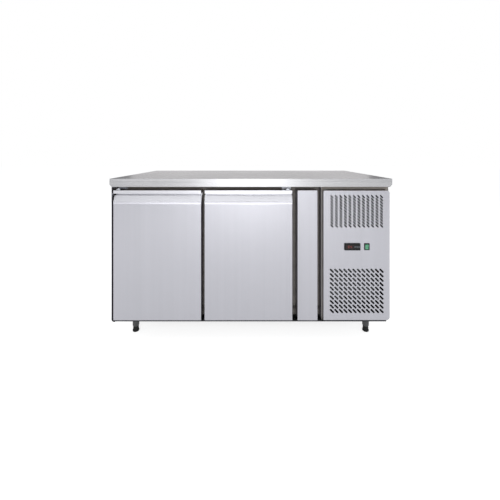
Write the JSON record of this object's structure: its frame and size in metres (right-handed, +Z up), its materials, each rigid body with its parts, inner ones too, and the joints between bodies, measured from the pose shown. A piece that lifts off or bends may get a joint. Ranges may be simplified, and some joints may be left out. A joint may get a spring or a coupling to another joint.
{
  "type": "undercounter refrigerator",
  "caption": "Counter refrigerator with two hinged doors under a flat steel worktop, and a slotted machine bay with controls at its right-hand end.",
  "frame": {"origin": "centre of the footprint at floor level", "axes": "+Z up, +X along the front towards the machine bay, the doors face -Y"},
  "size_m": [1.36, 0.7, 0.8],
  "materials": {
    "worktop_steel": "satin",
    "worktop_board": "matte",
    "front_steel": "satin",
    "pull_steel": "satin",
    "casing_steel": "satin",
    "liner_steel": "satin",
    "frame_coating": "satin",
    "base_steel": "satin",
    "foam": "matte",
    "gasket_vinyl": "matte",
    "hinge_steel": "satin",
    "hinge_nylon": "matte",
    "controller_plastic": "satin",
    "display_plastic": "gloss",
    "key_plastic": "satin",
    "rocker_green": "gloss",
    "leg_plastic": "satin",
    "foot_rubber": "matte",
    "shelf_wire": "gloss",
    "coil_aluminium": "satin",
    "motor_metal": "satin",
    "fan_blade": "satin",
    "compressor_paint": "satin",
    "mount_rubber": "matte",
    "copper_tube": "satin",
    "drain_plastic": "satin",
    "box_plastic": "satin",
    "gland_plastic": "satin"
  },
  "bodies": {
    "cabinet": {"worktop_shell": "worktop_steel", "worktop_core": "worktop_board", "filler_panel": "front_steel", "machine_panel": "front_steel", "side_panel_left": "casing_steel", "side_panel_right": "casing_steel", "back_panel": "casing_steel", "rear_grille": "casing_steel", "bay_wall": "casing_steel", "inner_liner": "liner_steel", "duct_panel": "liner_steel", "shelf_supports": "liner_steel", "front_frame": "frame_coating", "bay_frame": "frame_coating", "base_pan": "base_steel", "cabinet_insulation": "foam", "hinge_brackets": "hinge_steel", "hinge_pins": "hinge_steel", "panel_screws": "hinge_steel", "controller_case": "controller_plastic", "switch_housing": "controller_plastic", "controller_window": "display_plastic", "leg_sleeves": "leg_plastic", "evaporator_coil": "coil_aluminium", "condenser_coil": "coil_aluminium", "drip_tray": "coil_aluminium", "evaporation_pan": "coil_aluminium", "evaporator_fan_motor": "motor_metal", "condenser_fan_motor": "motor_metal", "condenser_shroud": "motor_metal", "compressor": "compressor_paint", "compressor_mounts": "mount_rubber", "refrigerant_lines": "copper_tube", "drain_pipe": "drain_plastic", "electrical_box": "box_plastic", "cable_gland": "gland_plastic"},
    "left_door": {"left_door_skin": "front_steel", "left_door_insulation": "foam", "left_door_liner": "liner_steel", "left_door_pull": "pull_steel", "left_door_gasket": "gasket_vinyl", "left_door_hinge_parts": "hinge_nylon"},
    "right_door": {"right_door_skin": "front_steel", "right_door_insulation": "foam", "right_door_liner": "liner_steel", "right_door_pull": "pull_steel", "right_door_gasket": "gasket_vinyl", "right_door_hinge_parts": "hinge_nylon"},
    "key_set": {"controller_key_set": "key_plastic"},
    "key_up": {"controller_key_up": "key_plastic"},
    "key_defrost": {"controller_key_defrost": "key_plastic"},
    "power_rocker": {"switch_rocker": "rocker_green"},
    "foot_front_left": {"foot_front_left": "foot_rubber"},
    "foot_front_right": {"foot_front_right": "foot_rubber"},
    "foot_rear_left": {"foot_rear_left": "foot_rubber"},
    "foot_rear_right": {"foot_rear_right": "foot_rubber"},
    "left_shelf": {"left_shelf": "shelf_wire"},
    "right_shelf": {"right_shelf": "shelf_wire"},
    "evaporator_fan": {"evaporator_fan_rotor": "fan_blade"},
    "condenser_fan": {"condenser_fan_rotor": "fan_blade"}
  },
  "joints": [
    {"name": "left_door_hinge", "type": "hinge", "parent": "cabinet", "child": "left_door", "pos_m": [-0.644, -0.328, 0.42875], "axis": [0, 0, -1], "range_deg": [0, 100], "stiffness_Nm_per_rad": 1.2, "springref_deg": -20.05},
    {"name": "right_door_hinge", "type": "hinge", "parent": "cabinet", "child": "right_door", "pos_m": [0.1795, -0.328, 0.42875], "axis": [0, 0, 1], "range_deg": [0, 100], "stiffness_Nm_per_rad": 1.2, "springref_deg": -20.05},
    {"name": "key_set_press", "type": "slide", "parent": "cabinet", "child": "key_set", "axis": [0, 1, 0], "range_m": [0, 0.0008], "stiffness_N_per_m": 900, "springref_m": -0.0003},
    {"name": "key_up_press", "type": "slide", "parent": "cabinet", "child": "key_up", "axis": [0, 1, 0], "range_m": [0, 0.0008], "stiffness_N_per_m": 900, "springref_m": -0.0003},
    {"name": "key_defrost_press", "type": "slide", "parent": "cabinet", "child": "key_defrost", "axis": [0, 1, 0], "range_m": [0, 0.0008], "stiffness_N_per_m": 900, "springref_m": -0.0003},
    {"name": "power_rocker_tilt", "type": "hinge", "parent": "cabinet", "child": "power_rocker", "pos_m": [0.5605, -0.3375, 0.47095], "axis": [-1, 0, 0], "range_deg": [0, 14]},
    {"name": "foot_front_left_height", "type": "slide", "parent": "cabinet", "child": "foot_front_left", "axis": [0, 0, -1], "range_m": [0, 0.03]},
    {"name": "foot_front_right_height", "type": "slide", "parent": "cabinet", "child": "foot_front_right", "axis": [0, 0, -1], "range_m": [0, 0.03]},
    {"name": "foot_rear_left_height", "type": "slide", "parent": "cabinet", "child": "foot_rear_left", "axis": [0, 0, -1], "range_m": [0, 0.03]},
    {"name": "foot_rear_right_height", "type": "slide", "parent": "cabinet", "child": "foot_rear_right", "axis": [0, 0, -1], "range_m": [0, 0.03]},
    {"name": "left_shelf_lift", "type": "slide", "parent": "cabinet", "child": "left_shelf", "axis": [0, 0, 1], "range_m": [0, 0.04]},
    {"name": "right_shelf_lift", "type": "slide", "parent": "cabinet", "child": "right_shelf", "axis": [0, 0, 1], "range_m": [0, 0.04]},
    {"name": "evaporator_fan_spin", "type": "hinge", "parent": "cabinet", "child": "evaporator_fan", "pos_m": [0.1837, 0.008, 0.5785], "axis": [1, 0, 0], "continuous": true},
    {"name": "condenser_fan_spin", "type": "hinge", "parent": "cabinet", "child": "condenser_fan", "pos_m": [0.5095, -0.19, 0.226], "axis": [0, 1, 0], "continuous": true}
  ]
}
